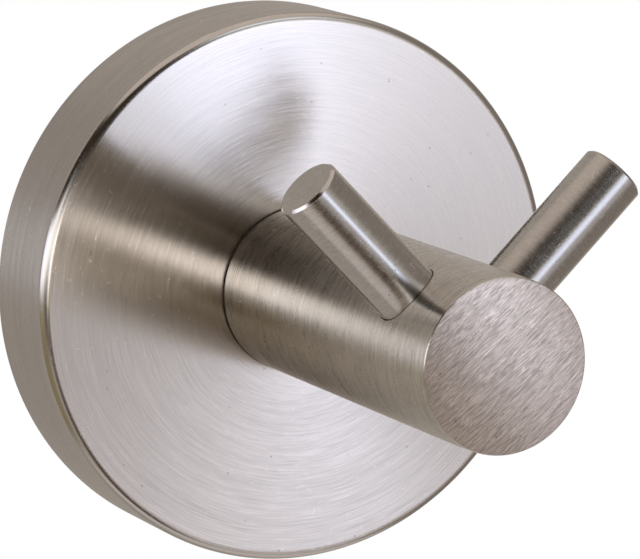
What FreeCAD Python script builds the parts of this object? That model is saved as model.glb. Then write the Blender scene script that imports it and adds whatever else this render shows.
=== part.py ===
import FreeCAD, Part
import math
import os
import Sketcher

# Double robe hook for a bathroom wall, turned from stainless bar. The wall is the plane y = 0 and the hook
# stands out of it towards -Y, with +Z up. The origin is the point of the wall that the post's axis meets.
# A "depth" below is a distance out from the wall, so it is -y. All sizes are in millimetres and degrees.

SIZES = {
    # rose: a shallow cup with its open side to the wall
    "rose_diameter": 53.0,
    "rose_depth": 11.0,
    "rose_wall": 3.0,
    "rose_face": 3.0,
    "rose_edge_round": 0.85,
    "rose_back_break": 0.2,
    "rose_inner_bevel": 0.6,
    # post: a round bar screwed to the middle of the rose's face
    "projection": 54.0,
    "post_diameter": 16.0,
    "post_edge_break": 0.3,
    "post_seam": 0.35,
    "post_hole_depth": 12.0,
    "drill_point_angle": 118.0,
    # pegs: two thin bars in blind seats, square to the post and leaning apart
    "peg_diameter": 6.0,
    "peg_setback": 9.3,
    "peg_angle": 45.0,
    "peg_reach": 21.6,
    "peg_seat": 3.5,
    "peg_clearance": 0.02,
    "peg_seam_width": 0.12,
    "peg_seam_depth": 0.3,
    "peg_edge_break": 0.25,
    "peg_root_chamfer": 0.3,
    # post screw with a low socket head, and the split washer under the head
    "post_screw_diameter": 6.0,
    "post_screw_length": 14.0,
    "post_screw_head": 10.0,
    "post_screw_head_height": 4.0,
    "post_screw_head_break": 0.4,
    "post_screw_end_chamfer": 0.7,
    "post_screw_key": 4.0,
    "post_screw_key_depth": 2.4,
    "post_screw_clearance": 0.3,
    "thread_clearance": 0.02,
    "washer_outer": 11.8,
    "washer_thickness": 1.6,
    "washer_clearance": 0.1,
    "washer_split": 0.7,
    "washer_split_angle": 20.0,
    # wall plate: a disc inside the rose, with a bevel that faces the wall
    "plate_clearance": 0.2,
    "plate_band": 0.8,
    "plate_lead_in": 0.4,
    "plate_window_clearance": 1.5,
    "wall_hole_diameter": 4.5,
    "wall_hole_spacing": 28.0,
    "countersink_diameter": 9.0,
    "countersink_angle": 90.0,
    # grub screw: a cone point through the underside of the rim, bearing on the plate's bevel
    "grub_diameter": 4.0,
    "grub_length": 4.0,
    "grub_standoff": 3.6,
    "grub_recess": 0.5,
    "grub_flat": 0.4,
    "grub_end_chamfer": 0.3,
    "grub_key": 2.0,
    "grub_key_depth": 1.6,
    "grub_contact": 0.02,
}

doc = FreeCAD.newDocument("double_robe_hook")
sheet = doc.addObject("Spreadsheet::Sheet", "sizes")
for row, (alias, size) in enumerate(SIZES.items(), start=1):
    sheet.set(f"A{row}", alias)
    sheet.set(f"B{row}", str(size))
    sheet.setAlias(f"B{row}", alias)
doc.recompute()

# Sizes that follow from the sheet, as formulas
ROSE_RADIUS = "sizes.rose_diameter / 2"
ROSE_BORE = f"({ROSE_RADIUS} - sizes.rose_wall)"
FACE_BACK = "(sizes.rose_depth - sizes.rose_face)"
POST_RADIUS = "sizes.post_diameter / 2"
PEG_RADIUS = "sizes.peg_diameter / 2"
PEG_STANDOFF = "(sizes.projection - sizes.peg_setback)"
PEG_HOLE = f"({PEG_RADIUS} + sizes.peg_clearance)"
PEG_GROOVE = f"({PEG_RADIUS} + sizes.peg_seam_width)"
PEG_GROOVE_FLOOR = f"(sqrt(({POST_RADIUS})^2 - {PEG_GROOVE}^2) - sizes.peg_seam_depth)"
SCREW_RADIUS = "sizes.post_screw_diameter / 2"
SCREW_THREAD = f"({SCREW_RADIUS} + sizes.thread_clearance)"
SCREW_PASSAGE = f"({SCREW_RADIUS} + sizes.post_screw_clearance)"
HEAD_RADIUS = "sizes.post_screw_head / 2"
HEAD_SEAT = f"({FACE_BACK} - sizes.washer_thickness)"
HEAD_TOP = f"({HEAD_SEAT} - sizes.post_screw_head_height)"
SCREW_END = f"({HEAD_SEAT} + sizes.post_screw_length)"
POST_HOLE_END = "(sizes.rose_depth + sizes.post_hole_depth)"
DRILL_POINT = f"({SCREW_THREAD} / tan(sizes.drill_point_angle * 0.5 deg))"
GRUB_RADIUS = "sizes.grub_diameter / 2"
GRUB_OUTER = f"({ROSE_RADIUS} - sizes.grub_recess)"
GRUB_APEX = f"({GRUB_OUTER} - sizes.grub_length)"
PLATE_RADIUS = f"({ROSE_BORE} - sizes.plate_clearance)"
PLATE_BACK = f"({GRUB_APEX} - sizes.grub_standoff - sizes.grub_contact)"
PLATE_BEVEL = f"({PLATE_RADIUS} - {PLATE_BACK})"
PLATE_THICKNESS = f"({PLATE_BEVEL} + sizes.plate_band)"
PLATE_WINDOW = f"({HEAD_RADIUS} + sizes.plate_window_clearance)"

SUB_PARTS = []


def value(formula):
    """The number that a formula has now."""
    return float(sheet.evalExpression(formula))


def new_body(label):
    body = doc.addObject("PartDesign::Body", label)
    body.Label = label
    SUB_PARTS.append(body)
    return body


def origin_plane(body, role):
    return next(feature for feature in body.Origin.OriginFeatures if feature.Role == role)


def new_sketch(body, name, role, offset=None):
    """A sketch on one of the body's origin planes, moved out along the plane's normal by a formula."""
    sketch = body.newObject("Sketcher::SketchObject", name)
    sketch.AttachmentSupport = (origin_plane(body, role), "")
    sketch.MapMode = "FlatFace"
    if offset:
        sketch.setExpression("AttachmentOffset.Base.z", offset)
    return sketch


def hold(sketch, kind, geometry, point, formula):
    """Holds a point of the sketch at its distance from an axis, or on the axis where the formula is 0."""
    if formula == "0":
        axis = -2 if kind == "DistanceX" else -1
        sketch.addConstraint(Sketcher.Constraint("PointOnObject", geometry, point, axis))
        return
    held = sketch.addConstraint(Sketcher.Constraint(kind, -1, 1, geometry, point, value(formula)))
    sketch.setExpression(f"Constraints[{held}]", formula)


def outline(sketch, corners):
    """A closed outline of straight lines through corners, each given by two formulas."""
    points = [FreeCAD.Vector(value(across), value(along), 0) for across, along in corners]
    count = len(points)
    for index in range(count):
        sketch.addGeometry(Part.LineSegment(points[index], points[(index + 1) % count]), False)
    for index, (across, along) in enumerate(corners):
        sketch.addConstraint(Sketcher.Constraint("Coincident", index, 2, (index + 1) % count, 1))
        hold(sketch, "DistanceX", index, 1, across)
        hold(sketch, "DistanceY", index, 1, along)


def ring(sketch, across, along, radius):
    """A circle with its centre and radius given by formulas."""
    centre = FreeCAD.Vector(value(across), value(along), 0)
    circle = sketch.addGeometry(Part.Circle(centre, FreeCAD.Vector(0, 0, 1), value(radius)), False)
    hold(sketch, "DistanceX", circle, 3, across)
    hold(sketch, "DistanceY", circle, 3, along)
    held = sketch.addConstraint(Sketcher.Constraint("Radius", circle, value(radius)))
    sketch.setExpression(f"Constraints[{held}]", radius)


def turn(body, role, corners):
    """Turns an outline of (radius, height) corners about the sketch's upright axis."""
    sketch = new_sketch(body, f"{body.Label}_outline", role)
    outline(sketch, corners)
    turned = body.newObject("PartDesign::Revolution", f"{body.Label}_turned")
    turned.Profile = sketch
    turned.ReferenceAxis = (sketch, ["V_Axis"])
    turned.Angle = 360
    doc.recompute()
    return turned


def turn_from_wall(body, corners):
    """Turns an outline of (radius, depth) corners about the post's axis."""
    return turn(body, "XY_Plane", [(radius, depth if depth == "0" else f"-{depth}") for radius, depth in corners])


def cut(body, sketch, name, along_normal=False):
    """Cuts a sketch's outline from its plane right out of the body, and makes sure that it removed something."""
    doc.recompute()
    before = body.Shape.Volume
    pocket = body.newObject("PartDesign::Pocket", name)
    pocket.Profile = sketch
    pocket.Type = "ThroughAll"
    pocket.Reversed = along_normal
    doc.recompute()
    if not pocket.Shape.Volume < before:
        raise RuntimeError(f"{name} removed nothing")
    return pocket


def dress(body, kind, name, size, rims):
    """Rounds or chamfers the circular edges that have the given (radius, point on the axis) formulas."""
    base = body.Tip
    edges = []
    for radius, centre in rims:
        middle = FreeCAD.Vector(*(value(part) for part in centre))
        edges += [
            f"Edge{number}" for number, edge in enumerate(base.Shape.Edges, start=1)
            if isinstance(edge.Curve, Part.Circle)
            and math.isclose(edge.Curve.Radius, value(radius), abs_tol=1e-6)
            and edge.Curve.Center.distanceToPoint(middle) < 1e-6
        ]
    if len(edges) != len(rims):
        raise RuntimeError(f"{name} found {len(edges)} edges")
    dressed = body.newObject(f"PartDesign::{kind}", name)
    dressed.Base = (base, edges)
    dressed.setExpression("Radius" if kind == "Fillet" else "Size", size)
    doc.recompute()
    return dressed


def at_depth(depth):
    """The point of the post's axis at a depth."""
    return ("0", f"-{depth}", "0")


def hexagon(sketch, across_flats):
    """A regular hexagon about the sketch's origin."""
    corner = f"{across_flats} / sqrt(3)"
    outline(sketch, [(f"{corner} * cos({60 * step + 30} deg)", f"{corner} * sin({60 * step + 30} deg)")
                     for step in range(6)])


def make_rose():
    body = new_body("rose")
    turn_from_wall(body, [
        (ROSE_BORE, "0"),
        (ROSE_RADIUS, "0"),
        (ROSE_RADIUS, "sizes.rose_depth"),
        (SCREW_PASSAGE, "sizes.rose_depth"),
        (SCREW_PASSAGE, FACE_BACK),
        (ROSE_BORE, FACE_BACK),
    ])
    dress(body, "Fillet", "rose_front_edge", "sizes.rose_edge_round", [(ROSE_RADIUS, at_depth("sizes.rose_depth"))])
    dress(body, "Chamfer", "rose_inner_corner", "sizes.rose_inner_bevel", [(ROSE_BORE, at_depth(FACE_BACK))])
    dress(body, "Chamfer", "rose_back_edge", "sizes.rose_back_break", [(ROSE_RADIUS, at_depth("0"))])
    # tapped hole for the grub screw, through the lowest part of the rim only
    hole = new_sketch(body, "grub_hole_circle", "XY_Plane")
    ring(hole, "0", "-sizes.grub_standoff", f"{GRUB_RADIUS} + sizes.thread_clearance")
    cut(body, hole, "grub_hole")


def make_post():
    body = new_body("post")
    turn_from_wall(body, [
        (SCREW_THREAD, "sizes.rose_depth"),
        (f"{POST_RADIUS} - sizes.post_seam", "sizes.rose_depth"),
        (POST_RADIUS, "(sizes.rose_depth + sizes.post_seam)"),
        (POST_RADIUS, "sizes.projection"),
        ("0", "sizes.projection"),
        ("0", f"({POST_HOLE_END} + {DRILL_POINT})"),
        (SCREW_THREAD, POST_HOLE_END),
    ])
    dress(body, "Chamfer", "post_front_edge", "sizes.post_edge_break", [(POST_RADIUS, at_depth("sizes.projection"))])
    # the right peg's seat and the fine groove round its foot, then the same on the left
    cuts = []
    for name, radius, floor in (("peg_hole", PEG_HOLE, "sizes.peg_seat"), ("peg_groove", PEG_GROOVE, PEG_GROOVE_FLOOR)):
        circle = new_sketch(body, f"{name}_circle", "XY_Plane")
        circle.AttachmentOffset = FreeCAD.Placement(FreeCAD.Vector(), FreeCAD.Rotation(FreeCAD.Vector(0, 1, 0), 1))
        circle.setExpression("AttachmentOffset.Rotation.Angle", "sizes.peg_angle * 1 deg")
        circle.setExpression("AttachmentOffset.Base.x", f"{floor} * sin(sizes.peg_angle * 1 deg)")
        circle.setExpression("AttachmentOffset.Base.z", f"{floor} * cos(sizes.peg_angle * 1 deg)")
        ring(circle, "0", f"-{PEG_STANDOFF}", radius)
        cuts.append(cut(body, circle, name, along_normal=True))
    mirrored = body.newObject("PartDesign::Mirrored", "left_peg_seat")
    mirrored.Originals = cuts
    mirrored.MirrorPlane = (origin_plane(body, "YZ_Plane"), [""])
    body.Tip = mirrored
    doc.recompute()


def make_peg(label, side):
    """A plain bar along its own Z, measured from the post's axis, then leant to its side."""
    body = new_body(label)
    turn(body, "XZ_Plane", [
        ("0", "sizes.peg_seat"),
        (f"{PEG_RADIUS} - sizes.peg_root_chamfer", "sizes.peg_seat"),
        (PEG_RADIUS, "sizes.peg_seat + sizes.peg_root_chamfer"),
        (PEG_RADIUS, "sizes.peg_reach"),
        ("0", "sizes.peg_reach"),
    ])
    dress(body, "Chamfer", f"{label}_tip_edge", "sizes.peg_edge_break", [(PEG_RADIUS, ("0", "0", "sizes.peg_reach"))])
    body.Placement = FreeCAD.Placement(FreeCAD.Vector(), FreeCAD.Rotation(FreeCAD.Vector(0, 1, 0), side))
    body.setExpression("Placement.Rotation.Angle", f"{side} * sizes.peg_angle * 1 deg")
    body.setExpression("Placement.Base.y", f"-{PEG_STANDOFF}")
    doc.recompute()


def make_post_screw():
    body = new_body("post_screw")
    turn_from_wall(body, [
        ("0", HEAD_TOP),
        (HEAD_RADIUS, HEAD_TOP),
        (HEAD_RADIUS, HEAD_SEAT),
        (SCREW_RADIUS, HEAD_SEAT),
        (SCREW_RADIUS, f"({SCREW_END} - sizes.post_screw_end_chamfer)"),
        (f"{SCREW_RADIUS} - sizes.post_screw_end_chamfer", SCREW_END),
        ("0", SCREW_END),
    ])
    dress(body, "Chamfer", "head_edge", "sizes.post_screw_head_break", [(HEAD_RADIUS, at_depth(HEAD_TOP))])
    socket = new_sketch(body, "head_socket_hexagon", "XZ_Plane", f"{HEAD_TOP} + sizes.post_screw_key_depth")
    hexagon(socket, "sizes.post_screw_key")
    cut(body, socket, "head_socket")


def make_lock_washer():
    body = new_body("lock_washer")
    bore = f"({SCREW_RADIUS} + sizes.washer_clearance)"
    turn_from_wall(body, [
        (bore, HEAD_SEAT),
        ("sizes.washer_outer / 2", HEAD_SEAT),
        ("sizes.washer_outer / 2", FACE_BACK),
        (bore, FACE_BACK),
    ])
    # the slanted split, through the upper side of the ring only
    lean = "(sizes.washer_thickness * tan(sizes.washer_split_angle * 1 deg) / 2)"
    half = "sizes.washer_split / 2"
    split = new_sketch(body, "washer_split_outline", "XY_Plane")
    outline(split, [
        (f"-{half} - {lean}", f"-{HEAD_SEAT}"),
        (f"{half} - {lean}", f"-{HEAD_SEAT}"),
        (f"{half} + {lean}", f"-{FACE_BACK}"),
        (f"-{half} + {lean}", f"-{FACE_BACK}"),
    ])
    cut(body, split, "washer_gap", along_normal=True)


def make_wall_plate():
    body = new_body("wall_plate")
    turn_from_wall(body, [
        (PLATE_WINDOW, "0"),
        (PLATE_BACK, "0"),
        (PLATE_RADIUS, PLATE_BEVEL),
        (PLATE_RADIUS, PLATE_THICKNESS),
        (PLATE_WINDOW, PLATE_THICKNESS),
    ])
    dress(body, "Chamfer", "plate_front_edge", "sizes.plate_lead_in", [(PLATE_RADIUS, at_depth(PLATE_THICKNESS))])
    # countersunk holes for the two wall screws, on a level line
    holes = new_sketch(body, "wall_hole_circles", "XZ_Plane", PLATE_THICKNESS)
    for side in (-1, 1):
        ring(holes, f"{side} * sizes.wall_hole_spacing / 2", "0", "sizes.wall_hole_diameter / 2")
    doc.recompute()
    drilled = body.newObject("PartDesign::Hole", "wall_holes")
    drilled.Profile = holes
    doc.recompute()
    drilled.DepthType = "ThroughAll"
    drilled.setExpression("Diameter", "sizes.wall_hole_diameter")
    drilled.HoleCutType = "Countersink"
    drilled.HoleCutCustomValues = True
    drilled.setExpression("HoleCutDiameter", "sizes.countersink_diameter")
    drilled.setExpression("HoleCutCountersinkAngle", "sizes.countersink_angle * 1 deg")
    doc.recompute()


def make_grub_screw():
    """Along its own Z, measured from the post's axis, then turned over to point up from below."""
    body = new_body("grub_screw")
    turn(body, "XZ_Plane", [
        ("0", f"{GRUB_APEX} + sizes.grub_flat / 2"),
        ("sizes.grub_flat / 2", f"{GRUB_APEX} + sizes.grub_flat / 2"),
        (GRUB_RADIUS, f"{GRUB_APEX} + {GRUB_RADIUS}"),
        (GRUB_RADIUS, f"{GRUB_OUTER} - sizes.grub_end_chamfer"),
        (f"{GRUB_RADIUS} - sizes.grub_end_chamfer", GRUB_OUTER),
        ("0", GRUB_OUTER),
    ])
    socket = new_sketch(body, "grub_socket_hexagon", "XY_Plane", f"{GRUB_OUTER} - sizes.grub_key_depth")
    hexagon(socket, "sizes.grub_key")
    cut(body, socket, "grub_socket", along_normal=True)
    body.Placement = FreeCAD.Placement(FreeCAD.Vector(), FreeCAD.Rotation(FreeCAD.Vector(0, 1, 0), 180))
    body.setExpression("Placement.Base.y", "-sizes.grub_standoff")
    doc.recompute()


make_rose()
make_post()
make_peg("peg_left", -1)
make_peg("peg_right", 1)
make_post_screw()
make_lock_washer()
make_wall_plate()
make_grub_screw()
doc.recompute()

for item in doc.Objects:
    if "Invalid" in item.State or "Error" in item.State:
        raise RuntimeError(f"{item.Label} failed: {item.State}")
for body in SUB_PARTS:
    if body.Shape.isNull() or not body.Shape.isValid() or len(body.Shape.Solids) != 1:
        raise RuntimeError(f"{body.Label} is not one valid solid")

os.makedirs("parts", exist_ok=True)
for body in SUB_PARTS:
    body.Shape.exportStep(f"parts/{body.Label}.step")
    print(f"{body.Label:12s} {body.Shape.Volume:9.1f} mm3")
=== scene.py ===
"""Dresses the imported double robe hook: turned satin steel pieces in a soft studio tent."""
import math

import bmesh
import bpy
from mathutils import Euler, Matrix, Vector


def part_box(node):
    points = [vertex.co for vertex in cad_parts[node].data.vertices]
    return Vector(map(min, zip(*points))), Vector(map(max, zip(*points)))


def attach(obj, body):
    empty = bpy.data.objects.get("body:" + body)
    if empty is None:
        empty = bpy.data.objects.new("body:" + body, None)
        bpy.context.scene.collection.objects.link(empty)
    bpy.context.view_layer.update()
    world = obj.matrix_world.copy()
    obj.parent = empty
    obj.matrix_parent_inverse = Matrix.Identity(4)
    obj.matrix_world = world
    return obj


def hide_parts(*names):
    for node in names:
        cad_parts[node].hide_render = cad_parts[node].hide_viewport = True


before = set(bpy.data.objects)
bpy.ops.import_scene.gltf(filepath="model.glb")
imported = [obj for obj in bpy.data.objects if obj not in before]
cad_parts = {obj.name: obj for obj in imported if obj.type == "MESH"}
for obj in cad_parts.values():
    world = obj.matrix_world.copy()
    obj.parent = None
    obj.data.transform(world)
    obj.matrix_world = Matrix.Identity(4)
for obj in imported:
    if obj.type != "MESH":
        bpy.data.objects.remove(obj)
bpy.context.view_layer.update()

MM = 0.001


# Sizes of the hook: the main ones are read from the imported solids, and the fine ones are set here

def read_size(metres):
    """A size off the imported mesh, cleaned to a hundredth of a millimetre."""
    return round(metres, 5)


rose_low, rose_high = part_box("rose")
post_low, post_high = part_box("post")
peg_low, peg_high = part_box("peg_right")
grub_low, grub_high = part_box("grub_screw")

PEG_LEAN = math.radians(45)
ROSE_RADIUS = read_size(rose_high.x)
ROSE_DEPTH = read_size(-rose_low.y)
ROSE_WALL = 3 * MM
ROSE_FACE = 3 * MM
ROSE_EDGE = 0.85 * MM
ROSE_BACK_EDGE = 0.2 * MM
ROSE_INNER_BEVEL = 0.6 * MM
POST_RADIUS = read_size(post_high.x)
POST_END = read_size(-post_low.y)
POST_EDGE = 0.1 * MM
POST_SEAM = 0.35 * MM
POST_HOLE = 3.02 * MM
POST_HOLE_DEPTH = 12 * MM
POST_DRILL_POINT = 1.8 * MM
PEG_RADIUS = read_size((peg_high.y - peg_low.y) / 2)
PEG_STANDOFF = read_size(-(peg_high.y + peg_low.y) / 2)
PEG_EDGE = 0.25 * MM
PEG_REACH = read_size(peg_high.x / math.sin(PEG_LEAN) - PEG_RADIUS + PEG_EDGE)
PEG_SEAT = 3.5 * MM
PEG_SEAM = 0.08 * MM
PEG_SEAM_DEPTH = 0.3 * MM
PEG_PLAY = 0.02 * MM
GRUB_DEPTH = read_size(-(grub_high.y + grub_low.y) / 2)
GRUB_HOLE = 2.02 * MM
SCREW_PASSAGE = 3.3 * MM

# The post's end is slightly domed, and the bar thins a little towards it
POST_CROWN = 0.27 * MM
POST_CROWN_SHARES = (0, 0.15, 0.3, 0.45, 0.6, 0.75, 0.9)
POST_ROLL = 0.07 * MM
POST_ROLL_LENGTH = 5 * MM
POST_ROLL_SHARES = (0.15, 0.35, 0.6, 1.0)

# The dark line of painted shade and grime that shows round the post, the rounding of a sharp edge, a
# cutter's run past its wall
SEAM_SHOW = 0.02 * MM
CRISP = 0.04 * MM
CUT_PAST = 1 * MM

TOWARDS_ROOM = Euler((math.pi / 2, 0, 0))
DOWNWARDS = Euler((math.pi, 0, 0))
PEG_TURNS = {"left": Euler((0, -PEG_LEAN, 0)), "right": Euler((0, PEG_LEAN, 0))}
PEG_PLACE = Vector((0, -PEG_STANDOFF, 0))
GRUB_PLACE = Vector((0, -GRUB_DEPTH, 0))
WALL_CENTRE = Vector((0, 0, 0))


def own_axis(turn):
    """The direction of a turned piece's axis."""
    axis = Vector((0, 0, 1))
    axis.rotate(turn)
    return axis


# Node helpers

def feed(tree, socket, value):
    """Links a socket to the value, or sets it where the value is plain."""
    if isinstance(value, bpy.types.NodeSocket):
        tree.links.new(value, socket)
    else:
        socket.default_value = value


def add(tree, kind, inputs=None, **settings):
    """A new node with its settings made and its inputs fed."""
    made = tree.nodes.new(kind)
    for name, setting in settings.items():
        setattr(made, name, setting)
    for key, value in (inputs or {}).items():
        feed(tree, made.inputs[key], value)
    return made


def calc(tree, operation, *values):
    """One sum on plain numbers or sockets."""
    made = add(tree, "ShaderNodeMath", operation=operation)
    for socket, value in zip(made.inputs, values):
        feed(tree, socket, value)
    return made.outputs[0]


def vector_calc(tree, operation, *values):
    """One sum on vectors; the result is the node's vector."""
    made = add(tree, "ShaderNodeVectorMath", operation=operation)
    for socket, value in zip(made.inputs, values):
        feed(tree, socket, value)
    return made.outputs["Vector"]


def length_of(tree, vector):
    """How long a vector is."""
    made = add(tree, "ShaderNodeVectorMath", {0: vector}, operation="LENGTH")
    return made.outputs["Value"]


def spread(tree, value, span, results=(0.0, 1.0)):
    """Maps a span of values to a span of results and clamps it."""
    made = add(tree, "ShaderNodeMapRange", {
        "Value": value,
        "From Min": span[0],
        "From Max": span[1],
        "To Min": results[0],
        "To Max": results[1],
    })
    return made.outputs["Result"]


def weigh(tree, first, second, share):
    """A share of the first value and the rest of the second."""
    part = calc(tree, "MULTIPLY", first, share)
    rest = calc(tree, "MULTIPLY", second, 1 - share)
    return calc(tree, "ADD", part, rest)


# A mix node has sockets of its own for every kind of data, which are told apart by number

def blend_values(tree, amount, first, second):
    """Mixes two values by an amount from 0 to 1."""
    made = add(tree, "ShaderNodeMix", {0: amount, 2: first, 3: second})
    return made.outputs[0]


def blend_colours(tree, amount, first, second):
    """Mixes two colours by an amount from 0 to 1."""
    made = add(tree, "ShaderNodeMix", {0: amount, 6: first, 7: second}, data_type="RGBA")
    return made.outputs[2]


# Turned pieces: a profile swept round an axis

SWEEP_CIRCLE = 10 * MM
WELD_DISTANCE = 0.0005 * MM
SHARP_ANGLE = math.radians(28)
ROUNDING_STEPS = 7
SUPPORT_SHARE = 0.3
SUPPORT_MOST = 0.06 * MM
ROSE_STEPS = 384
POST_STEPS = 256
PEG_STEPS = 128
GRUB_STEPS = 48


def rounded_corner(before, corner, after, radius):
    """Points round one corner of a profile, with a support point beside each end of the arc."""
    to_before = (before - corner).normalized()
    to_after = (after - corner).normalized()
    half = to_before.angle(to_after) / 2
    run = radius / math.tan(half)
    support = min(SUPPORT_SHARE * radius, SUPPORT_MOST)
    centre = corner + (to_before + to_after).normalized() * radius / math.sin(half)
    start = corner + to_before * run - centre
    end = corner + to_after * run - centre
    sweep = start.angle(end)
    points = [corner + to_before * (run + support)]
    for step in range(ROUNDING_STEPS + 1):
        share = step / ROUNDING_STEPS
        arm = start * math.sin((1 - share) * sweep) + end * math.sin(share * sweep)
        points.append(centre + arm / math.sin(sweep))
    points.append(corner + to_after * (run + support))
    return points


def profile_points(corners, closed):
    """The outline as (radius, along) points.

    Each corner gives its radius, its place along the axis and its rounding.
    """
    places = [Vector((radius, along)) for radius, along, rounding in corners]
    points = []
    for index, (radius, along, rounding) in enumerate(corners):
        at_end = not closed and index in (0, len(corners) - 1)
        if rounding == 0 or at_end:
            points.append(places[index])
            continue
        before = places[index - 1]
        after = places[(index + 1) % len(places)]
        points.extend(rounded_corner(before, places[index], after, rounding))
    return points


LATHE_INPUTS = {
    "Profile": "NodeSocketGeometry",
    "Steps": "NodeSocketInt",
    "Turn": "NodeSocketRotation",
    "Place": "NodeSocketVector",
    "Finish": "NodeSocketMaterial",
}


def turned_tree():
    """The lathe: sweeps a profile round the Z axis, closes it, turns it and puts it in its place."""
    tree = bpy.data.node_groups.new("turned_piece", "GeometryNodeTree")
    for name, kind in LATHE_INPUTS.items():
        tree.interface.new_socket(name, in_out="INPUT", socket_type=kind)
    tree.interface.new_socket("Piece", in_out="OUTPUT", socket_type="NodeSocketGeometry")
    given = add(tree, "NodeGroupInput")
    profile = add(tree, "GeometryNodeMeshToCurve", {"Mesh": given.outputs["Profile"]})
    circle = add(tree, "GeometryNodeCurvePrimitiveCircle", {
        "Resolution": given.outputs["Steps"],
        "Radius": SWEEP_CIRCLE,
    })
    swept = add(tree, "GeometryNodeCurveToMesh", {
        "Curve": circle.outputs["Curve"],
        "Profile Curve": profile.outputs["Curve"],
    })
    closed = add(tree, "GeometryNodeMergeByDistance", {
        "Geometry": swept.outputs["Mesh"],
        "Distance": WELD_DISTANCE,
    })
    placed = add(tree, "GeometryNodeTransform", {
        "Geometry": closed.outputs["Geometry"],
        "Translation": given.outputs["Place"],
        "Rotation": given.outputs["Turn"],
    })
    smooth = add(tree, "GeometryNodeSetShadeSmooth", {"Geometry": placed.outputs["Geometry"]})
    real = add(tree, "GeometryNodeRealizeInstances", {"Geometry": smooth.outputs["Geometry"]})
    finished = add(tree, "GeometryNodeSetMaterial", {
        "Geometry": real.outputs["Geometry"],
        "Material": given.outputs["Finish"],
    })
    result = add(tree, "NodeGroupOutput")
    feed(tree, result.inputs["Piece"], finished.outputs["Geometry"])
    return tree


TURNED = turned_tree()
TURNED_INPUTS = {
    item.name: item.identifier
    for item in TURNED.interface.items_tree
    if item.in_out == "INPUT"
}


def turned(name, corners, steps, turn, place, finish, closed=False):
    """A piece off the lathe, as an object whose modifier still makes its mesh."""
    points = profile_points(corners, closed)
    edges = [(index, index + 1) for index in range(len(points) - 1)]
    if closed:
        edges.append((len(points) - 1, 0))
    profile = bpy.data.meshes.new(name)
    profile.from_pydata([(radius - SWEEP_CIRCLE, -along, 0) for radius, along in points], edges, [])
    piece = bpy.data.objects.new(name, profile)
    bpy.context.scene.collection.objects.link(piece)
    lathe = piece.modifiers.new("lathe", "NODES")
    lathe.node_group = TURNED
    lathe[TURNED_INPUTS["Steps"]] = steps
    lathe[TURNED_INPUTS["Turn"]] = turn
    lathe[TURNED_INPUTS["Place"]] = place
    lathe[TURNED_INPUTS["Finish"]] = finish
    return piece


def made_mesh(piece):
    """The mesh that an object's modifiers make, as a plain one with its faces pointing outwards."""
    seen = piece.evaluated_get(bpy.context.evaluated_depsgraph_get())
    mesh = bpy.data.meshes.new_from_object(seen)
    shape = bmesh.new()
    shape.from_mesh(mesh)
    bmesh.ops.recalc_face_normals(shape, faces=shape.faces)
    shape.to_mesh(mesh)
    shape.free()
    return mesh


def freeze(piece, cutters=()):
    """Cuts the piece, makes it a plain mesh with crisp edges, and clears the cutters away."""
    for cutter in cutters:
        cutter_mesh = made_mesh(cutter)
        cutter.modifiers.clear()
        cutter.data = cutter_mesh
        cut = piece.modifiers.new(cutter.name, "BOOLEAN")
        cut.operation = "DIFFERENCE"
        cut.solver = "EXACT"
        cut.material_mode = "TRANSFER"
        cut.object = cutter
    mesh = made_mesh(piece)
    piece.modifiers.clear()
    piece.data = mesh
    mesh.shade_smooth()
    mesh.set_sharp_from_angle(angle=SHARP_ANGLE)
    for cutter in cutters:
        bpy.data.objects.remove(cutter)


def hand_over(piece, node):
    """The finished piece stands for its solid: it rides with the hook, and the solid is hidden."""
    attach(piece, "root")
    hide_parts(node)


# Satin steel finishes

STEEL = (0.525, 0.505, 0.475)
BRIGHT_STEEL = (0.595, 0.545, 0.485)
WARM_STEEL = (0.575, 0.548, 0.500)
GROUND_STEEL = (0.482, 0.410, 0.342)
# Painted shade: the near-black of the seams stands in for the shade in their gaps, with some grime in
# it
SEAM_SHADE_AND_GRIME = (0.024, 0.017, 0.010, 1.0)
SEAM_SHADE_AND_GRIME_PALE = (0.07, 0.05, 0.03, 1.0)
END_GRAIN = math.radians(37)

# How the noise becomes lines, scratches and pits, which all lie between 0 and 1
NOISE_ROUGHNESS = 0.6
LINE_DETAIL = 1.0
STROKE_DETAIL = 2.0
SCRATCH_FADE = 0.05
PIT_CORE = 0.3

# How strongly grain, scratches and pits change the steel
COLOUR_SPAN = (0.34, 0.66)
SCRATCH_COVER = 0.7
SCRATCH_TONE = 1.7
PIT_COVER = 0.8
PIT_TONE = 0.45
GLOSS_SPAN = (0.3, 0.7)

# Turned finishes
SHORT_DRIFT = 6.0
LONG_PITCHES = 2.5
LONG_DRIFT = 2.5
BAND_PITCHES = 9
BAND_DRIFT = 1.2
SHORT_SHARE = 0.6
LINE_SHARE = 0.8
ARC_SPAN = (0.68, 0.76)
ARC_STRENGTH = 0.6
TURNED_GLOSS_SWING = 0.025
SCRATCH_DULLING = 0.1
TURNED_PIT_DEPTH = 0.8

# The finish of the post's end
STROKE_SKEW = 0.06
PATCH_SPAN = (0.4, 0.6)
LONG_STROKE_SHARES = (0.25, 0.75)
BELT_GLOSS_SWING = 0.03
BELT_PIT_DEPTH = 0.6

# The painted shade and dirt in the seams
DUST_SIZE = 0.4 * MM
DUST_DETAIL = 3.0
DUST_SPAN = (0.4, 0.75)
DUST_ROUGHNESS = 0.75
DUST_DEPTH = 0.02 * MM


def tone(steel, share):
    """A steel's colour, lighter or darker by a share."""
    return tuple(min(1.0, channel * share) for channel in steel) + (1.0,)


def axis_coordinates(tree, turn, place):
    """Object coordinates with the piece's own axis as Z."""
    coords = add(tree, "ShaderNodeTexCoord")
    local = add(tree, "ShaderNodeMapping", {
        "Vector": coords.outputs["Object"],
        "Location": place,
        "Rotation": turn,
    }, vector_type="TEXTURE")
    return local.outputs["Vector"]


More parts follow.
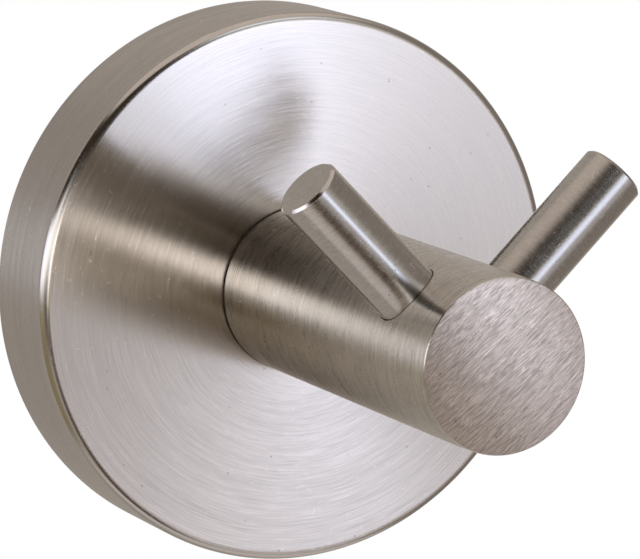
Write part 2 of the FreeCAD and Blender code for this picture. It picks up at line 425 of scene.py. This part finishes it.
def turning_lines(tree, local, pitch, drift):
    """Fine lines that run round the axis, as a cutting tool or a polishing belt leaves them."""
    parts = add(tree, "ShaderNodeSeparateXYZ", {"Vector": local})
    flat = add(tree, "ShaderNodeCombineXYZ", {"X": parts.outputs["X"], "Y": parts.outputs["Y"]})
    radius = length_of(tree, flat.outputs["Vector"])
    heading = vector_calc(tree, "NORMALIZE", flat.outputs["Vector"])
    turns = add(tree, "ShaderNodeSeparateXYZ", {"Vector": heading})
    where = add(tree, "ShaderNodeCombineXYZ", {
        "X": calc(tree, "DIVIDE", radius, pitch),
        "Y": calc(tree, "DIVIDE", parts.outputs["Z"], pitch),
        "Z": calc(tree, "MULTIPLY", turns.outputs["X"], drift),
    })
    lines = add(tree, "ShaderNodeTexNoise", {
        "Vector": where.outputs["Vector"],
        "W": calc(tree, "MULTIPLY", turns.outputs["Y"], drift),
        "Scale": 1.0,
        "Detail": LINE_DETAIL,
        "Roughness": NOISE_ROUGHNESS,
    }, noise_dimensions="4D")
    return lines.outputs["Fac"]


def strokes(tree, where, angle, length, width):
    """Short straight strokes that lie at an angle in the XY plane."""
    laid = add(tree, "ShaderNodeMapping", {"Vector": where, "Rotation": (0, 0, -angle)})
    stretched = add(tree, "ShaderNodeMapping", {
        "Vector": laid.outputs["Vector"],
        "Scale": (1 / length, 1 / width, 1 / length),
    })
    noise = add(tree, "ShaderNodeTexNoise", {
        "Vector": stretched.outputs["Vector"],
        "Scale": 1.0,
        "Detail": STROKE_DETAIL,
        "Roughness": NOISE_ROUGHNESS,
    })
    return noise.outputs["Fac"]


def stray_scratches(tree, where, angles, length, width, rarity):
    """A few scratches at given angles in degrees: 1 in a scratch and 0 beside it."""
    total = 0.0
    for angle in angles:
        marks = strokes(tree, where, math.radians(angle), length, width)
        found = spread(tree, marks, (rarity, rarity + SCRATCH_FADE))
        total = calc(tree, "MAXIMUM", total, found)
    return total


def pits(tree, where, spacing, size, share):
    """Small round pits in a share of the cells of a loose grid: 1 in a pit and 0 beside it."""
    cells = add(tree, "ShaderNodeTexVoronoi", {
        "Vector": where,
        "Scale": 1 / spacing,
        "Randomness": 1.0,
    })
    pick = add(tree, "ShaderNodeSeparateColor", {"Color": cells.outputs["Color"]})
    reach = (PIT_CORE * size / spacing, size / spacing)
    near = spread(tree, cells.outputs["Distance"], reach, (1.0, 0.0))
    return calc(tree, "MULTIPLY", near, calc(tree, "LESS_THAN", pick.outputs["Red"], share))


def across_the_lines(tree, turn, place):
    """The way along the surface across the turning lines, in which satin steel smears a reflection."""
    coords = add(tree, "ShaderNodeTexCoord")
    surface = add(tree, "ShaderNodeNewGeometry")
    arm = vector_calc(tree, "SUBTRACT", coords.outputs["Object"], place)
    round_axis = vector_calc(tree, "CROSS_PRODUCT", own_axis(turn), arm)
    along_line = vector_calc(tree, "NORMALIZE", round_axis)
    return vector_calc(tree, "CROSS_PRODUCT", surface.outputs["Normal"], along_line)


def new_finish(name):
    """An empty material and its node tree."""
    material = bpy.data.materials.new(name)
    material.use_nodes = True
    material.node_tree.nodes.clear()
    return material, material.node_tree


def close_finish(tree, colour, roughness, height, depth, metallic=1.0, directional=0.0, tangent=None):
    """The surface that every finish ends in; the height from 0 to 1 is pressed in to the depth."""
    bump = add(tree, "ShaderNodeBump", {"Height": height, "Distance": depth, "Strength": 1.0})
    metal = add(tree, "ShaderNodeBsdfPrincipled", {
        "Base Color": colour,
        "Metallic": metallic,
        "Roughness": roughness,
        "Anisotropic": directional,
        "Normal": bump.outputs["Normal"],
    })
    if tangent is not None:
        feed(tree, metal.inputs["Tangent"], tangent)
    surface = add(tree, "ShaderNodeOutputMaterial")
    feed(tree, surface.inputs["Surface"], metal.outputs["BSDF"])


def worn_steel(tree, steel, grain, contrast, scratches, dents):
    """The steel's colour: light and dark with the grain, lighter in scratches and darker in dents."""
    amount = spread(tree, grain, COLOUR_SPAN)
    colour = blend_colours(tree, amount, tone(steel, 1 - contrast), tone(steel, 1 + contrast))
    scratched = calc(tree, "MULTIPLY", scratches, SCRATCH_COVER)
    colour = blend_colours(tree, scratched, colour, tone(steel, SCRATCH_TONE))
    dented = calc(tree, "MULTIPLY", dents, PIT_COVER)
    return blend_colours(tree, dented, colour, tone(steel, PIT_TONE))


def turned_satin(name, turn, place, steel, pitch, roughness, directional, depth, contrast):
    """Satin steel with short lines round the piece's own axis, and a few stray scratches and pits."""
    material, tree = new_finish(name)
    local = axis_coordinates(tree, turn, place)
    short_lines = turning_lines(tree, local, pitch, SHORT_DRIFT)
    long_lines = turning_lines(tree, local, LONG_PITCHES * pitch, LONG_DRIFT)
    bands = turning_lines(tree, local, BAND_PITCHES * pitch, BAND_DRIFT)
    lines = weigh(tree, short_lines, long_lines, SHORT_SHARE)
    grain = weigh(tree, lines, bands, LINE_SHARE)
    crossing = stray_scratches(
        tree, local, angles=(20, 75, 140), length=0.9 * MM, width=0.1 * MM, rarity=0.70)
    arcs = spread(tree, short_lines, ARC_SPAN, (0.0, ARC_STRENGTH))
    scratches = calc(tree, "MAXIMUM", crossing, arcs)
    dents = pits(tree, local, spacing=0.9 * MM, size=0.13 * MM, share=0.12)
    colour = worn_steel(tree, steel, grain, contrast, scratches, dents)
    swing = (roughness - TURNED_GLOSS_SWING, roughness + TURNED_GLOSS_SWING)
    gloss = spread(tree, grain, GLOSS_SPAN, swing)
    gloss = calc(tree, "ADD", gloss, calc(tree, "MULTIPLY", scratches, SCRATCH_DULLING))
    height = calc(tree, "SUBTRACT", lines, calc(tree, "MULTIPLY", dents, TURNED_PIT_DEPTH))
    close_finish(
        tree, colour, gloss, height, depth,
        directional=directional, tangent=across_the_lines(tree, turn, place))
    return material


def belt_satin(name, angle, steel, roughness, directional, depth, contrast):
    """Satin steel with short straight strokes across the post's end, as a belt leaves them."""
    material, tree = new_finish(name)
    local = axis_coordinates(tree, TOWARDS_ROOM, WALL_CENTRE)
    long_strokes = strokes(tree, local, angle, length=1.6 * MM, width=0.1 * MM)
    short_strokes = strokes(tree, local, angle + STROKE_SKEW, length=0.8 * MM, width=0.1 * MM)
    patches = strokes(tree, local, angle, length=3.5 * MM, width=1.2 * MM)
    long_share = spread(tree, patches, PATCH_SPAN, LONG_STROKE_SHARES)
    grain = blend_values(tree, long_share, short_strokes, long_strokes)
    flecks = stray_scratches(
        tree, local, angles=(33, 38, 43), length=0.9 * MM, width=0.13 * MM, rarity=0.66)
    dents = pits(tree, local, spacing=0.8 * MM, size=0.15 * MM, share=0.10)
    colour = worn_steel(tree, steel, grain, contrast, flecks, dents)
    swing = (roughness + BELT_GLOSS_SWING, roughness - BELT_GLOSS_SWING)
    gloss = spread(tree, grain, GLOSS_SPAN, swing)
    height = calc(tree, "SUBTRACT", grain, calc(tree, "MULTIPLY", dents, BELT_PIT_DEPTH))
    across = add(tree, "ShaderNodeCombineXYZ", {"X": -math.sin(angle), "Z": math.cos(angle)})
    close_finish(
        tree, colour, gloss, height, depth,
        directional=directional, tangent=across.outputs["Vector"])
    return material


def seam_shade_and_grime(name):
    """The dark line in a seam between two pieces: painted shade where the gap falls dark, with oil and
    dust in it.
    """
    material, tree = new_finish(name)
    coords = add(tree, "ShaderNodeTexCoord")
    dust = add(tree, "ShaderNodeTexNoise", {
        "Vector": coords.outputs["Object"],
        "Scale": 1 / DUST_SIZE,
        "Detail": DUST_DETAIL,
    })
    amount = spread(tree, dust.outputs["Fac"], DUST_SPAN)
    colour = blend_colours(tree, amount, SEAM_SHADE_AND_GRIME, SEAM_SHADE_AND_GRIME_PALE)
    close_finish(tree, colour, DUST_ROUGHNESS, dust.outputs["Fac"], DUST_DEPTH, metallic=0.0)
    return material


rose_face_satin = turned_satin(
    "rose_face_satin", TOWARDS_ROOM, WALL_CENTRE, BRIGHT_STEEL,
    pitch=0.1 * MM, roughness=0.19, directional=0.97, depth=0.0006 * MM, contrast=0.14)
rose_rim_satin = turned_satin(
    "rose_rim_satin", TOWARDS_ROOM, WALL_CENTRE, STEEL,
    pitch=0.1 * MM, roughness=0.28, directional=0.9, depth=0.0006 * MM, contrast=0.12)
rose_edge_polish = turned_satin(
    "rose_edge_polish", TOWARDS_ROOM, WALL_CENTRE, STEEL,
    pitch=0.1 * MM, roughness=0.20, directional=0.2, depth=0.0004 * MM, contrast=0.08)
post_satin = turned_satin(
    "post_satin", TOWARDS_ROOM, WALL_CENTRE, WARM_STEEL,
    pitch=0.09 * MM, roughness=0.28, directional=0.9, depth=0.001 * MM, contrast=0.24)
post_end_satin = belt_satin(
    "post_end_satin", END_GRAIN, GROUND_STEEL,
    roughness=0.30, directional=0.85, depth=0.003 * MM, contrast=0.4)
peg_satins = {
    side: turned_satin(
        f"peg_{side}_satin", turn, PEG_PLACE, STEEL,
        pitch=0.09 * MM, roughness=0.25, directional=0.6, depth=0.0005 * MM, contrast=0.12)
    for side, turn in PEG_TURNS.items()
}
peg_edge_polishes = {
    side: turned_satin(
        f"peg_{side}_edge_polish", turn, PEG_PLACE, STEEL,
        pitch=0.1 * MM, roughness=0.16, directional=0.3, depth=0.0004 * MM, contrast=0.05)
    for side, turn in PEG_TURNS.items()
}
# Painted shade: the seams round the post and the pegs take this dark finish in place of the shade in
# their gaps
grimy_seam_shade = seam_shade_and_grime("grimy_seam_shade")
plate_satin = turned_satin(
    "plate_satin", TOWARDS_ROOM, WALL_CENTRE, STEEL,
    pitch=0.3 * MM, roughness=0.42, directional=0.3, depth=0.004 * MM, contrast=0.14)
screw_satin = turned_satin(
    "screw_satin", TOWARDS_ROOM, WALL_CENTRE, STEEL,
    pitch=0.15 * MM, roughness=0.38, directional=0.4, depth=0.002 * MM, contrast=0.14)
grub_satin = turned_satin(
    "grub_satin", DOWNWARDS, GRUB_PLACE, STEEL,
    pitch=0.12 * MM, roughness=0.4, directional=0.3, depth=0.001 * MM, contrast=0.14)

# How far a face looks along the piece's axis: 1 at the front end, 0 on the round wall, -1 at the back
END_FACING = 0.98
WALL_FACING = 0.02
SEAM_FACING = -0.1


def finish_faces(piece, turn, place, finish, belongs):
    """Gives a finish to the faces that belong to it.

    The test takes a face's place along the piece's axis, its distance from the axis and its facing.
    """
    axis = own_axis(turn)
    piece.data.materials.append(finish)
    index = len(piece.data.materials) - 1
    for polygon in piece.data.polygons:
        arm = polygon.center - place
        along = arm.dot(axis)
        radius = (arm - along * axis).length
        if belongs(along, radius, polygon.normal.dot(axis)):
            polygon.material_index = index


# The rose: a turned cup with a rounded front edge

def make_rose():
    """The round cup against the wall, with the hole for the grub screw under its rim."""
    inner = ROSE_RADIUS - ROSE_WALL
    inside = ROSE_DEPTH - ROSE_FACE
    seam = POST_RADIUS + SEAM_SHOW
    corners = [
        (inner, 0, CRISP),
        (ROSE_RADIUS, 0, ROSE_BACK_EDGE),
        (ROSE_RADIUS, ROSE_DEPTH, ROSE_EDGE),
        (seam, ROSE_DEPTH, 0),
        (SCREW_PASSAGE, ROSE_DEPTH, 0),
        (SCREW_PASSAGE, inside, 0),
        (inner - ROSE_INNER_BEVEL, inside, 0),
        (inner, inside - ROSE_INNER_BEVEL, 0),
    ]
    rose = turned(
        "satin_rose", corners, ROSE_STEPS, TOWARDS_ROOM, WALL_CENTRE, rose_rim_satin, closed=True)
    bore = [
        (0, inner - CUT_PAST, 0),
        (GRUB_HOLE, inner - CUT_PAST, 0),
        (GRUB_HOLE, ROSE_RADIUS + CUT_PAST, 0),
        (0, ROSE_RADIUS + CUT_PAST, 0),
    ]
    grub_bore = turned("grub_bore", bore, GRUB_STEPS, DOWNWARDS, GRUB_PLACE, grub_satin)
    freeze(rose, [grub_bore])

    def on_face(along, radius, facing):
        return facing > END_FACING

    # Painted shade: the ring of the face under and just round the post's foot is painted dark, as its
    # gap falls in shade
    def in_shaded_seam(along, radius, facing):
        return facing > END_FACING and radius < seam

    def on_edge(along, radius, facing):
        rounded = along > ROSE_DEPTH - ROSE_EDGE and radius > ROSE_RADIUS - ROSE_EDGE
        return rounded and WALL_FACING < facing <= END_FACING

    finish_faces(rose, TOWARDS_ROOM, WALL_CENTRE, rose_face_satin, on_face)
    finish_faces(rose, TOWARDS_ROOM, WALL_CENTRE, grimy_seam_shade, in_shaded_seam)
    finish_faces(rose, TOWARDS_ROOM, WALL_CENTRE, rose_edge_polish, on_edge)
    hand_over(rose, "rose")


# The post: a bar with a tapped back end and two seats for the pegs

def make_post():
    """The round bar, with a seam groove round each peg's seat."""
    rim = POST_END - POST_CROWN
    corners = [
        (POST_RADIUS * share, POST_END - POST_CROWN * share ** 2, 0)
        for share in POST_CROWN_SHARES
    ]
    corners.append((POST_RADIUS - POST_ROLL, rim, POST_EDGE))
    corners += [
        (POST_RADIUS - POST_ROLL * (1 - share) ** 2, rim - POST_ROLL_LENGTH * share, 0)
        for share in POST_ROLL_SHARES
    ]
    corners += [
        (POST_RADIUS, ROSE_DEPTH + POST_SEAM, CRISP),
        (POST_RADIUS - POST_SEAM, ROSE_DEPTH, 0),
        (POST_HOLE, ROSE_DEPTH, 0),
        (POST_HOLE, ROSE_DEPTH + POST_HOLE_DEPTH, 0),
        (0, ROSE_DEPTH + POST_HOLE_DEPTH + POST_DRILL_POINT, 0),
    ]
    post = turned("satin_post", corners, POST_STEPS, TOWARDS_ROOM, WALL_CENTRE, post_satin)
    seat = PEG_RADIUS + PEG_PLAY
    groove = PEG_RADIUS + PEG_SEAM
    groove_floor = math.sqrt(POST_RADIUS ** 2 - PEG_RADIUS ** 2) - PEG_SEAM_DEPTH
    outside = 2 * POST_RADIUS
    bore = [
        (0, PEG_SEAT, 0),
        (seat, PEG_SEAT, 0),
        (seat, groove_floor, 0),
        (groove, groove_floor, 0),
        (groove, outside, 0),
        (0, outside, 0),
    ]
    # Painted shade: the cutters carry the dark seam finish onto the grooves round the pegs' seats
    seats = [
        turned(f"peg_seat_{side}", bore, PEG_STEPS, turn, PEG_PLACE, grimy_seam_shade)
        for side, turn in PEG_TURNS.items()
    ]
    freeze(post, seats)

    def on_end(along, radius, facing):
        return facing > END_FACING

    # Painted shade: the chamfer at the post's foot is painted dark, as the gap against the rose falls
    # in shade
    def in_shaded_seam(along, radius, facing):
        at_rose = along < ROSE_DEPTH + POST_SEAM and radius > POST_RADIUS - POST_SEAM
        return at_rose and facing < SEAM_FACING

    finish_faces(post, TOWARDS_ROOM, WALL_CENTRE, post_end_satin, on_end)
    finish_faces(post, TOWARDS_ROOM, WALL_CENTRE, grimy_seam_shade, in_shaded_seam)
    hand_over(post, "post")


# The pegs: two thin bars, the same piece leaning both ways

def make_peg(side):
    """One peg, from its seat in the post to its bevelled tip."""
    turn = PEG_TURNS[side]
    corners = [
        (0, PEG_SEAT, 0),
        (PEG_RADIUS, PEG_SEAT, PEG_EDGE),
        (PEG_RADIUS, PEG_REACH - PEG_EDGE, CRISP),
        (PEG_RADIUS - PEG_EDGE, PEG_REACH, CRISP),
        (0, PEG_REACH, 0),
    ]
    peg = turned(f"satin_peg_{side}", corners, PEG_STEPS, turn, PEG_PLACE, peg_satins[side])
    freeze(peg)

    def on_bevel(along, radius, facing):
        return along > PEG_REACH - PEG_EDGE - CRISP and facing < END_FACING

    finish_faces(peg, turn, PEG_PLACE, peg_edge_polishes[side], on_bevel)
    hand_over(peg, f"peg_{side}")


make_rose()
make_post()
make_peg("left")
make_peg("right")


# Hidden pieces keep their solids and take a finish

for node_name, finish in {
    "post_screw": screw_satin,
    "lock_washer": screw_satin,
    "grub_screw": grub_satin,
    "wall_plate": plate_satin,
}.items():
    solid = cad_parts[node_name]
    solid.data.materials.clear()
    solid.data.materials.append(finish)


# Studio: a warm grey tent with bright and dark panels, and a pale floor; sizes in metres and degrees

TENT_RADIUS = 1.6
TENT_SUBDIVISIONS = 4
PANEL_RADIUS = 1.5
PANEL_STEP = 2
RIBBON_ROWS = 12
FLOOR_DROP = 0.2
FLOOR_RADIUS = 1.4
FLOOR_SEGMENTS = 96
FLOOR_FADE = (0.25, 0.7)
FLOOR_WHITENESS = (0.75, 1.0)

WHITE = (1.0, 1.0, 1.0, 1.0)
FLOOR_PAPER = (0.8, 0.78, 0.76, 1.0)
TENT_GREY = (0.49, 0.44, 0.40)
CEILING_CREAM = (0.83, 0.72, 0.65)
TABLE_CREAM = (0.79, 0.72, 0.70)
SIDE_BROWN = (0.31, 0.27, 0.24)
UPPER_SHADE = (0.03, 0.02, 0.01)
LOWER_SHADE = (0.08, 0.045, 0.02)
LEFT_UPPER_SHADE = (0.03, 0.015, 0.005)
LEFT_LOWER_SHADE = (0.35, 0.29, 0.17)
RIGHT_UPPER_SHADE = (0.66, 0.63, 0.57)
RIGHT_LOWER_SHADE = (0.65, 0.61, 0.62)
KEY_WHITE = (2.54, 2.78, 3.58)
LAMP_WHITE = (1.5, 1.6, 1.8)

# Stations of the long light on the left: azimuth, middle elevation and half its height, then its light
RIBBON_STATIONS = (
    ((174, -4.7, 4.3), (2.85, 2.55, 2.2)),
    ((184, -5, 6.8), (2.9, 2.7, 2.4)),
    ((197, -1, 6.8), (2.2, 2.25, 2.5)),
    ((211, 3, 7.5), (1.7, 1.8, 2.0)),
    ((228, 8, 15), (2.1, 1.92, 1.8)),
    ((250, 5, 14), (2.3, 2.12, 2.15)),
    ((276, 4, 14), (2.1, 2.1, 2.35)),
    ((302, 3, 12), (1.5, 1.55, 1.85)),
)


def direction(azimuth, elevation):
    """The way to a point of the studio.

    Azimuth 0 is into the wall, 90 to the right and 180 into the room.
    """
    turn = math.radians(azimuth)
    rise = math.radians(elevation)
    level = math.cos(rise)
    return Vector((math.sin(turn) * level, math.cos(turn) * level, math.sin(rise)))


def studio_glow():
    """A light-giving surface whose light is written on its points."""
    material, tree = new_finish("studio_glow")
    light = add(tree, "ShaderNodeAttribute", attribute_name="light")
    lit = add(tree, "ShaderNodeEmission", {"Color": light.outputs["Color"], "Strength": 1.0})
    surface = add(tree, "ShaderNodeOutputMaterial")
    feed(tree, surface.inputs["Surface"], lit.outputs["Emission"])
    return material


STUDIO_GLOW = studio_glow()


def set_up(name, mesh, lights):
    """Puts up a studio piece, which lights the hook and shows in the steel but not in the picture."""
    written = mesh.attributes.new("light", "FLOAT_COLOR", "POINT")
    for point, light in zip(written.data, lights):
        point.color = (*light, 1.0)
    mesh.materials.append(STUDIO_GLOW)
    piece = bpy.data.objects.new(name, mesh)
    bpy.context.scene.collection.objects.link(piece)
    piece.visible_camera = False


def make_tent():
    """The cloth tent all round the hook."""
    mesh = bpy.data.meshes.new("tent")
    shape = bmesh.new()
    bmesh.ops.create_icosphere(shape, subdivisions=TENT_SUBDIVISIONS, radius=TENT_RADIUS)
    shape.to_mesh(mesh)
    shape.free()
    set_up("tent", mesh, [TENT_GREY] * len(mesh.vertices))


def between(first, second, share):
    """A light or a place part of the way from one to another."""
    return tuple(a + (b - a) * share for a, b in zip(first, second))


def hang_sheet(name, columns, nearer):
    """Hangs a curved sheet in the tent, nearer to the hook than a plain panel by a distance.

    Each column lists its points' azimuth, elevation and light from below.
    """
    rows = len(columns[0])
    corners = []
    lights = []
    for column in columns:
        for azimuth, elevation, light in column:
            corners.append(direction(azimuth, elevation) * (PANEL_RADIUS - nearer))
            lights.append(light)
    faces = []
    for column in range(len(columns) - 1):
        for row in range(rows - 1):
            first = column * rows + row
            faces.append((first, first + 1, first + rows + 1, first + rows))
    mesh = bpy.data.meshes.new(name)
    mesh.from_pydata(corners, [], faces)
    set_up(name, mesh, lights)


def make_panel(name, turns, rises, light, edge_light=None, soft=1.0, lean=0.0, nearer=0.0):
    """A panel from one azimuth and elevation to another.

    Soft is the share of its half width over which it goes over to the light at its edge, and lean
    is how many degrees of azimuth it shifts with each degree of elevation.
    """
    steps = max(1, round((turns[1] - turns[0]) / PANEL_STEP))
    rows = max(1, round((rises[1] - rises[0]) / PANEL_STEP))
    middle = sum(rises) / 2
    columns = []
    for step in range(steps + 1):
        column = []
        for row in range(rows + 1):
            azimuth = turns[0] + (turns[1] - turns[0]) * step / steps
            elevation = rises[0] + (rises[1] - rises[0]) * row / rows
            from_edge = 2 * min(step / steps, 1 - step / steps, row / rows, 1 - row / rows)
            shown = between(edge_light or light, light, min(1.0, from_edge / soft))
            column.append((azimuth + lean * (elevation - middle), elevation, shown))
        columns.append(column)
    hang_sheet(name, columns, nearer)


def ribbon_column(station, upper_light, lower_light, soft):
    """One column of a ribbon from below, which fades to the lights at its edges."""
    (azimuth, middle, half), light = station
    column = []
    for row in range(RIBBON_ROWS + 1):
        height = 2 * row / RIBBON_ROWS - 1
        edge_light = upper_light if height > 0 else lower_light
        shown = between(edge_light, light, min(1.0, (1 - abs(height)) / soft))
        column.append((azimuth, middle + half * height, shown))
    return column


def make_ribbon(name, stations, upper_light, lower_light, soft, nearer):
    """A long light of changing height that runs past its stations."""
    passed = []
    for (place, light), (next_place, next_light) in zip(stations, stations[1:]):
        steps = max(1, round((next_place[0] - place[0]) / PANEL_STEP))
        for step in range(steps):
            share = step / steps
            passed.append((between(place, next_place, share), between(light, next_light, share)))
    passed.append(stations[-1])
    columns = [ribbon_column(station, upper_light, lower_light, soft) for station in passed]
    hang_sheet(name, columns, nearer)


def make_floor():
    """A pale floor that fades into the white behind it; the steel shows the tent in its place."""
    mesh = bpy.data.meshes.new("floor")
    shape = bmesh.new()
    bmesh.ops.create_circle(shape, cap_ends=True, segments=FLOOR_SEGMENTS, radius=FLOOR_RADIUS)
    shape.to_mesh(mesh)
    shape.free()
    mesh.transform(Matrix.Translation((0, 0, -FLOOR_DROP)))
    material, tree = new_finish("floor_paper")
    paper = add(tree, "ShaderNodeBsdfDiffuse", {"Color": FLOOR_PAPER})
    white = add(tree, "ShaderNodeEmission", {"Color": WHITE, "Strength": 1.0})
    path = add(tree, "ShaderNodeLightPath")
    coords = add(tree, "ShaderNodeTexCoord")
    far = spread(tree, length_of(tree, coords.outputs["Object"]), FLOOR_FADE, FLOOR_WHITENESS)
    mix = add(tree, "ShaderNodeMixShader", {
        0: calc(tree, "MULTIPLY", path.outputs["Is Camera Ray"], far),
        1: paper.outputs["BSDF"],
        2: white.outputs["Emission"],
    })
    surface = add(tree, "ShaderNodeOutputMaterial")
    feed(tree, surface.inputs["Surface"], mix.outputs["Shader"])
    mesh.materials.append(material)
    floor = bpy.data.objects.new("floor", mesh)
    bpy.context.scene.collection.objects.link(floor)
    floor.visible_glossy = False


def make_world():
    """White behind the hook."""
    world = bpy.data.worlds.new("white_room")
    bpy.context.scene.world = world
    world.use_nodes = True
    tree = world.node_tree
    tree.nodes.clear()
    path = add(tree, "ShaderNodeLightPath")
    seen = calc(tree, "MAXIMUM", path.outputs["Is Camera Ray"], path.outputs["Is Glossy Ray"])
    seen = calc(tree, "MAXIMUM", seen, path.outputs["Is Transmission Ray"])
    white = add(tree, "ShaderNodeBackground", {"Color": WHITE, "Strength": seen})
    surface = add(tree, "ShaderNodeOutputWorld")
    feed(tree, surface.inputs["Surface"], white.outputs["Background"])


make_tent()
make_panel("ceiling", (0, 360), (52, 89), CEILING_CREAM)
make_panel("table", (60, 240), (-89, -50), TABLE_CREAM)
make_panel("side_wall", (60, 137), (-46, 44), SIDE_BROWN)
make_panel("right_upper_shade", (136, 166), (0, 49), RIGHT_UPPER_SHADE)
make_panel("right_lower_shade", (136, 166), (-49, 0), RIGHT_LOWER_SHADE)
make_panel(
    "overhead_lamp", (139, 176), (30, 49), LAMP_WHITE, RIGHT_UPPER_SHADE,
    soft=0.5, nearer=0.05)
make_panel("upper_shade", (166, 222), (0, 49), UPPER_SHADE)
make_panel("lower_shade", (166, 192), (-49, 0), LOWER_SHADE)
make_panel("far_lower_shade", (192, 222), (-18, 0), LOWER_SHADE)
make_panel("left_upper_shade", (222, 297), (0, 49), LEFT_UPPER_SHADE)
make_panel("left_lower_shade", (222, 297), (-49, 0), LEFT_LOWER_SHADE)
make_ribbon("strip_light", RIBBON_STATIONS, UPPER_SHADE, LOWER_SHADE, soft=0.45, nearer=0.1)
make_panel(
    "key_softbox", (150.2, 165), (-10.8, 11), KEY_WHITE, RIGHT_UPPER_SHADE,
    soft=0.4, lean=0.4, nearer=0.2)
make_floor()
make_world()


# The photograph's camera

CAMERA_PLACE = Vector((-186.47, -410.3, 75.06)) * MM
CAMERA_HEADING = 25.285
CAMERA_DIP = -9.549
CAMERA_ROLL = math.radians(1.059)
CAMERA_LENS = 263.36
CAMERA_SENSOR = 36


def make_camera():
    """The camera at the photograph's place and angle."""
    forward = direction(CAMERA_HEADING, CAMERA_DIP)
    level = direction(CAMERA_HEADING + 90, 0)
    upright = level.cross(forward)
    right = level * math.cos(CAMERA_ROLL) + upright * math.sin(CAMERA_ROLL)
    up = upright * math.cos(CAMERA_ROLL) - level * math.sin(CAMERA_ROLL)
    lens = bpy.data.cameras.new("camera")
    lens.sensor_fit = "HORIZONTAL"
    lens.sensor_width = CAMERA_SENSOR
    lens.lens = CAMERA_LENS
    camera = bpy.data.objects.new("camera", lens)
    axes = Matrix((right, up, -forward)).transposed().to_4x4()
    camera.matrix_world = Matrix.Translation(CAMERA_PLACE) @ axes
    bpy.context.scene.collection.objects.link(camera)
    bpy.context.scene.camera = camera


make_camera()
bpy.context.scene.view_settings.view_transform = "Standard"
